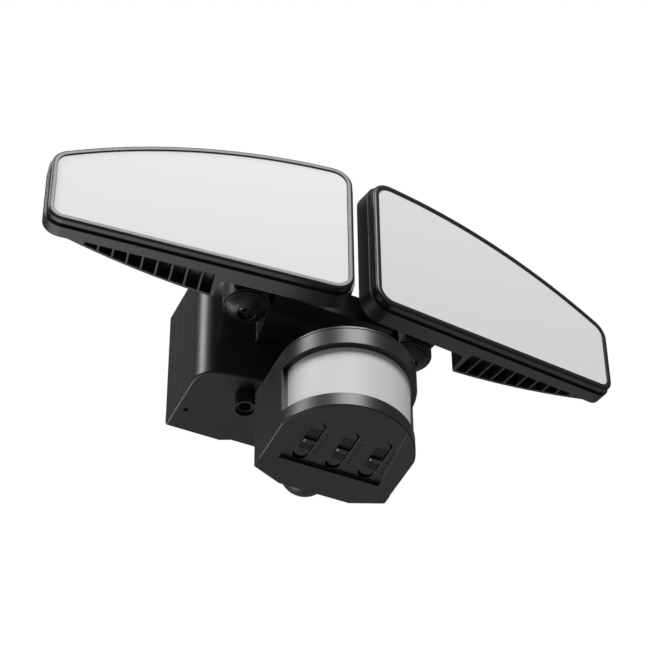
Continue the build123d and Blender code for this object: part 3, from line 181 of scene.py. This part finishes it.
def lens_look(place, fine, shader):
    """Milky strip with painted light and shade: faint upright bands and darker borders of the
    facets.
    """
    x, y, z = axes(place)
    turn = x.math("ARCTAN2", (y + LENS_CENTRE) * -1.0) * (1.0 / FACET_TURN)
    upright = (turn.math("PINGPONG", 0.5) * 2.0).math("POWER", UPRIGHT_SHARP)
    band = (turn * BAND_PITCH).math("SINE")
    level = ((z - LENS_LOW) * (1.0 / FACET_HEIGHT)).math("PINGPONG", 0.5) * 2.0
    line = upright * UPRIGHT_SHARE + (1.0 - level).math("POWER", LEVEL_SHARP) * LEVEL_SHARE
    shader.inputs["Specular IOR Level"].default_value = LENS_MIRROR
    return toned(1.0 - line * FACET_LINE_PAINTED_SHADE + band * BAND_PAINTED_SHADE, LENS), fine * LENS_GRAIN


LOOKS = {
    "black_metal": material("satin black metal", DARK_PAINT, 0.42, grain=0.03,
                            grain_scale=1500.0),
    "black_plastic": material("satin black plastic", BLACK, 0.38, grain=0.03,
                              grain_scale=1700.0),
    # painted highlight: pale look of the two glint dots on each slider
    "painted_glint": material("painted glint", (0.7, 0.7, 0.68), 0.5, grain=0.02),
    "window_white": material("pale window", WINDOW, 0.75, grain=0.02, grain_scale=2500.0,
                             extra=window_look),
    "lens_white": material("milky lens", LENS, 0.5, grain=0.1, grain_scale=1200.0,
                           extra=lens_look),
    "black_rubber": material("black rubber", (0.012, 0.012, 0.012), 0.72, grain=0.05,
                             grain_scale=700.0),
    "steel": material("zinc steel", (0.62, 0.62, 0.63), 0.24, metallic=1.0, grain=0.02),
    "black_steel": material("blackened steel", (0.14, 0.14, 0.145), 0.2, metallic=1.0,
                            grain=0.02),
    "board_green": material("green circuit board", (0.01, 0.045, 0.02), 0.6, grain=0.03,
                            grain_scale=600.0),
    "board_white": material("white light board", (0.72, 0.72, 0.70), 0.5, grain=0.02),
    "led_yellow": material("phosphor", (0.78, 0.55, 0.12), 0.4, grain=0.02),
    "component_dark": material("moulded component", (0.04, 0.04, 0.045), 0.5, grain=0.04),
    "terminal_grey": material("terminal grey", (0.42, 0.42, 0.40), 0.5, grain=0.04),
    "detector_metal": material("detector can", (0.66, 0.62, 0.54), 0.28, metallic=1.0,
                               grain=0.02),
}
SLOTS = {part["node"]: part["material_slot"] for part in frame["record"]["subparts"]}
for node, piece in frame["nodes"].items():
    piece.data.materials.clear()
    piece.data.materials.append(LOOKS[SLOTS[node]])


# ---------------------------------------------------------------- surfaces
WELD = 1e-7                                 # metres


def skin(name, grids, body, slot, look=None, replaced=()):
    """One mesh from closed surfaces: each grid of points is (rows, columns, 3), in mm.

    Columns run round and close on themselves; the first and last row of each grid
    have shrunk to a point or meet each other, so that the surface is closed.
    """
    points, quads, start = [], [], 0
    for grid, ring in grids:
        rows, columns = grid.shape[:2]
        row = np.arange(rows if ring else rows - 1)[:, None]
        column = np.arange(columns)[None, :]
        after = (row + 1) % rows
        beside = (column + 1) % columns
        corners = [row * columns + column, after * columns + column,
                   after * columns + beside, row * columns + beside]
        quads.append(np.stack(corners, axis=-1).reshape(-1, 4) + start)
        points.append(grid.reshape(-1, 3))
        start += rows * columns
    mesh = bpy.data.meshes.new(name)
    mesh.from_pydata((np.concatenate(points) * MM).tolist(), [],
                     np.concatenate(quads).tolist())
    tidy = bmesh.new()
    tidy.from_mesh(mesh)
    bmesh.ops.remove_doubles(tidy, verts=tidy.verts, dist=WELD)
    bmesh.ops.recalc_face_normals(tidy, faces=tidy.faces)
    tidy.to_mesh(mesh)
    tidy.free()
    mesh.polygons.foreach_set("use_smooth", np.ones(len(mesh.polygons), dtype=bool))
    piece = bpy.data.objects.new(name, mesh)
    bpy.context.collection.objects.link(piece)
    mesh.materials.append(LOOKS[look or slot])
    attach(piece, body)
    if replaced:
        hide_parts(*replaced)
    return piece


def turned(profile, centre, steps=96):
    """Closed profile of (radius, height) turned about an upright axis.

    Point = centre + (r cos a, r sin a, h) for the angle a of each row.
    """
    angle = np.linspace(0.0, 2.0 * np.pi, steps, endpoint=False)[:, None]
    radius, height = profile[:, 0][None, :], profile[:, 1][None, :]
    x = centre[0] + radius * np.cos(angle)
    y = centre[1] + radius * np.sin(angle)
    return np.stack([x, y, height + 0.0 * x], axis=-1)


def pebble(centre, half, power=0.35, steps=24):
    """Rounded brick: half sizes times cosines and sines raised to a small power."""
    def bent(value):
        return np.sign(value) * np.abs(value) ** power
    tilt = np.linspace(-np.pi / 2, np.pi / 2, steps // 2 + 1)[:, None]
    turn = np.linspace(0.0, 2.0 * np.pi, steps, endpoint=False)[None, :]
    x = half[0] * bent(np.cos(tilt)) * bent(np.cos(turn))
    y = half[1] * bent(np.cos(tilt)) * bent(np.sin(turn))
    z = half[2] * bent(np.sin(tilt)) + 0.0 * x
    return np.stack([x, y, z], axis=-1) + np.array(centre)


# milky strip of the sensor
LENS_HALF, LENS_END, LENS_TAIL, LENS_WALL = 34.2, 92.9, 5.0, 1.2
LENS_FRONT_LOW, LENS_FRONT_HIGH = 121.9, 124.9


LENS_ROUND = 0.94                           # share of the strip that is round, rest is tail
LENS_ALONG, LENS_UP, LENS_DOWN = 481, 64, 12            # points along, up front, down back
DISH, DISH_RINGS, DISH_BOWL = 0.05, 0.04, 0.03          # depth of a facet and of its forms
RINGS = 9.0
EDGE_FADE = 60.0                            # how fast the facets end at the strip's ends


def lens_grid():
    """Strip on a curve that leans forward, with facets sunk into its front.

    At each height the plan is an arc of radius (half^2 + sag^2) / (2 sag) with straight
    tails. The section is a closed loop: up the front, down the back. Each facet is a
    shallow dish crossed by fine rings, sunk by up to 0.12 mm.
    """
    along = np.linspace(-1.0, 1.0, LENS_ALONG)[:, None]
    rise = np.concatenate([np.linspace(0, 1, LENS_UP), np.linspace(1, 0, LENS_DOWN)])[None, :]
    inside = np.concatenate([np.zeros(LENS_UP), np.ones(LENS_DOWN)])[None, :]
    sag = LENS_FRONT_LOW + (LENS_FRONT_HIGH - LENS_FRONT_LOW) * rise - LENS_END
    radius = (LENS_HALF ** 2 + sag ** 2) / (2.0 * sag)
    turn = np.clip(along / LENS_ROUND, -1.0, 1.0) * np.arcsin(LENS_HALF / radius)
    tail = np.clip(np.abs(along) - LENS_ROUND, 0.0, 1.0) / (1.0 - LENS_ROUND) * LENS_TAIL
    column = turn / FACET_TURN
    row = rise * FACET_ROWS
    out = np.hypot(column - np.floor(column) - 0.5, row - np.floor(row) - 0.5)
    sunk = (DISH + DISH_RINGS * np.cos(out * 2.0 * np.pi * RINGS)
            + DISH_BOWL * np.cos(out * np.pi))
    edge = np.clip((1.0 - np.abs(along)) * EDGE_FADE, 0.0, 1.0)
    depth_in = inside * LENS_WALL + (1.0 - inside) * sunk * edge
    across = (radius - depth_in) * np.sin(turn)
    depth = LENS_END + sag - radius + (radius - depth_in) * np.cos(turn) - tail
    height = LENS_LOW + (LENS_HIGH - LENS_LOW) * rise + 0.0 * turn
    body = np.stack([across, -depth, height], axis=-1)
    first = np.broadcast_to(body[:1].mean(axis=1, keepdims=True), body[:1].shape)
    last = np.broadcast_to(body[-1:].mean(axis=1, keepdims=True), body[-1:].shape)
    return np.concatenate([first, body, last])


skin("lens_strip", [(lens_grid(), False)], "sensor_head", "lens_white",
     replaced=["fresnel_lens"])

# domed cups under the lamp pivots
CUP_RIM, CUP_TOP, CUP_LOW = 12.2, -7.0, -12.4
CUP_MOUTH, CUP_FLOOR, CUP_HOLE = 4.9, -8.2, 3.2
CUP_BEAD, CUP_LIP, CUP_LIP_H, CUP_BULGE = 0.45, 0.35, 0.3, 0.7
CUP_BEAD_DROP = 0.7                         # middle of the rim bead below the top
CUP_GROOVE = 0.9                            # where the dome starts, in from rim and top
PIVOT_X, PIVOT_DEPTH = 48.3, 70.4


def cup_profile():
    """Rim bead, groove and low dome down to a rounded mouth, then the bore."""
    bead = np.linspace(0.0, np.pi, 12)
    share = np.linspace(0.0, 1.0, 28)
    lip = np.linspace(0.0, np.pi, 10)
    rim = np.stack([CUP_RIM + CUP_BEAD * (np.cos(bead) - 1.0),
                    CUP_TOP - CUP_BEAD_DROP - CUP_BEAD * np.sin(bead)], axis=-1)
    start = (CUP_RIM - CUP_GROOVE, CUP_TOP - CUP_GROOVE)
    end = (CUP_MOUTH + CUP_LIP * 2.0, CUP_LOW + CUP_LIP_H)
    arch = np.stack([start[0] + (end[0] - start[0]) * share,
                     start[1] + (end[1] - start[1]) * share
                     - CUP_BULGE * np.sin(np.pi * share)], axis=-1)
    mouth = np.stack([CUP_MOUTH + CUP_LIP * (1.0 + np.cos(lip)),
                      CUP_LOW + CUP_LIP_H * (1.0 - np.sin(lip))], axis=-1)
    bore = np.array([[CUP_MOUTH, CUP_FLOOR], [CUP_HOLE, CUP_FLOOR], [CUP_HOLE, CUP_TOP],
                     [CUP_RIM, CUP_TOP]])
    return np.concatenate([rim, arch, mouth, bore])


for side, sign in (("right", 1.0), ("left", -1.0)):
    skin(side + "_domed_cup", [(turned(cup_profile(), (sign * PIVOT_X, -PIVOT_DEPTH)), True)],
         side + "_lamp", "black_plastic", replaced=[side + "_pivot_cup"])

# raised scale ticks beside the slide controls, and two pale dots on each slider as painted
# glints at the left end of its bar
SLIDE_X, SLIDE_DEPTH, SLIDER_FACE = (-18.6, 0.0, 18.6), 85.95, -103.5
PANEL_LOW, PANEL_RECESS, PANEL_REAR, PANEL_FRONT = -105.9, 2.0, 69.2, 114.9
TICK_LENGTHS = (1.3, 0.8, 0.8, 1.3, 0.8, 0.8, 1.3)      # half lengths across
TICK_PITCH, TICK_ASIDE, TICK_HALF_W, TICK_HALF_H = 2.6, 6.8, 0.28, 0.22
# painted highlight: two pale dots standing for glints at the left end of each slider's bar
GLINT_STEP, GLINT_ASIDE, GLINT_DROP, GLINT_HALF = 0.45, 2.6, 1.6, (0.55, 0.2, 0.12)


def panel_height(depth):
    """Height of the sunk panel of the underside at a depth."""
    return PANEL_LOW + PANEL_RECESS * (PANEL_FRONT - depth) / (PANEL_FRONT - PANEL_REAR)


ticks = []
for middle in SLIDE_X:
    for i, length in enumerate(TICK_LENGTHS):
        depth = SLIDE_DEPTH + (i - len(TICK_LENGTHS) // 2) * TICK_PITCH
        ticks.append((pebble((middle + TICK_ASIDE, -depth, panel_height(depth)),
                             (length, TICK_HALF_W, TICK_HALF_H)), False))
skin("scale_ticks", ticks, "sensor_head", "black_plastic")
for i, middle in enumerate(SLIDE_X):
    glints = [(pebble((middle - GLINT_ASIDE, -SLIDE_DEPTH + step, SLIDER_FACE - GLINT_DROP),
                     GLINT_HALF), False) for step in (-GLINT_STEP, GLINT_STEP)]
    skin("slider_%d_pointer" % (i + 1), glints, "slider_%d" % (i + 1), "window_white",
         look="painted_glint")


# ---------------------------------------------------------------- stage, light, camera
TARGET = (0.0, -0.07, 0.0)


def lamp(name, place, width, height, power):
    """Soft rectangular light that looks at the lamps."""
    data = bpy.data.lights.new(name, "AREA")
    data.shape = "RECTANGLE"
    data.size = width
    data.size_y = height
    data.energy = power
    light = bpy.data.objects.new(name, data)
    bpy.context.collection.objects.link(light)
    light.location = place
    light.rotation_euler = (Vector(TARGET) - Vector(place)).to_track_quat("-Z", "Y").to_euler()


lamp("front light", (-0.2, -1.5, 1.3), 1.0, 0.8, 38.0)
lamp("left light", (-1.2, -0.15, 1.15), 0.5, 0.9, 16.0)
lamp("low light", (-0.5, 0.9, -1.0), 1.0, 1.0, 10.0)
lamp("low left light", (-1.2, 1.1, -0.55), 0.4, 0.5, 3.5)
lamp("low right light", (0.8, 0.8, -0.9), 0.6, 0.8, 0.8)

FLOOR_Z, FLOOR_HALF = -1.6, 4
floor_mesh = bpy.data.meshes.new("floor")
floor_mesh.from_pydata([(x * FLOOR_HALF, y * FLOOR_HALF, FLOOR_Z)
                        for x, y in ((-1, -1), (1, -1), (1, 1), (-1, 1))], [], [(0, 1, 2, 3)])
floor = bpy.data.objects.new("floor", floor_mesh)
bpy.context.collection.objects.link(floor)
floor_mesh.materials.append(material("pale floor", (0.5, 0.5, 0.5), 0.8, spread=0.02))

SKY_FILL, SKY_GLOSS = 0.15, 0.18       # pale room as matt and as glossy surfaces see it
world = bpy.data.worlds.new("studio")
bpy.context.scene.world = world
world.use_nodes = True
sky = world.node_tree
sky.nodes.clear()
path = sky.nodes.new("ShaderNodeLightPath")
seen = Val(sky, path.outputs["Is Camera Ray"])
through = Val(sky, path.outputs["Is Transmission Ray"])
mirrored = Val(sky, path.outputs["Is Glossy Ray"])
level = SKY_FILL + (seen + through) * (1.0 - SKY_FILL) + mirrored * (SKY_GLOSS - SKY_FILL)
backdrop = seen.node("ShaderNodeBackground", Color=(1.0, 1.0, 1.0, 1.0), Strength=level)
sky_out = sky.nodes.new("ShaderNodeOutputWorld")
put(sky, sky_out.inputs["Surface"], backdrop)

# camera fitted to the photo: azimuth, elevation, roll, look-at point and distance
azimuth, elevation, roll = radians(-24.99), radians(-43.86), radians(-0.62)
LOOK_AT, CAMERA_DISTANCE, CAMERA_LENS = (-4.78, -76.81, -9.18), 1.3459, 137.81
back = Vector((sin(azimuth) * cos(elevation), -cos(azimuth) * cos(elevation), sin(elevation)))
side = Vector((0, 0, 1)).cross(back).normalized()
top = back.cross(side)
right = cos(roll) * side + sin(roll) * top
up = cos(roll) * top - sin(roll) * side
place = Vector(LOOK_AT) * MM + back * CAMERA_DISTANCE
camera_data = bpy.data.cameras.new("camera")
camera_data.sensor_width = 36.0
camera_data.lens = CAMERA_LENS
camera = bpy.data.objects.new("camera", camera_data)
bpy.context.collection.objects.link(camera)
camera.matrix_world = Matrix([[right[i], up[i], back[i], place[i]] for i in range(3)]
                             + [[0, 0, 0, 1]])
bpy.context.scene.camera = camera
bpy.context.scene.view_settings.view_transform = "Standard"
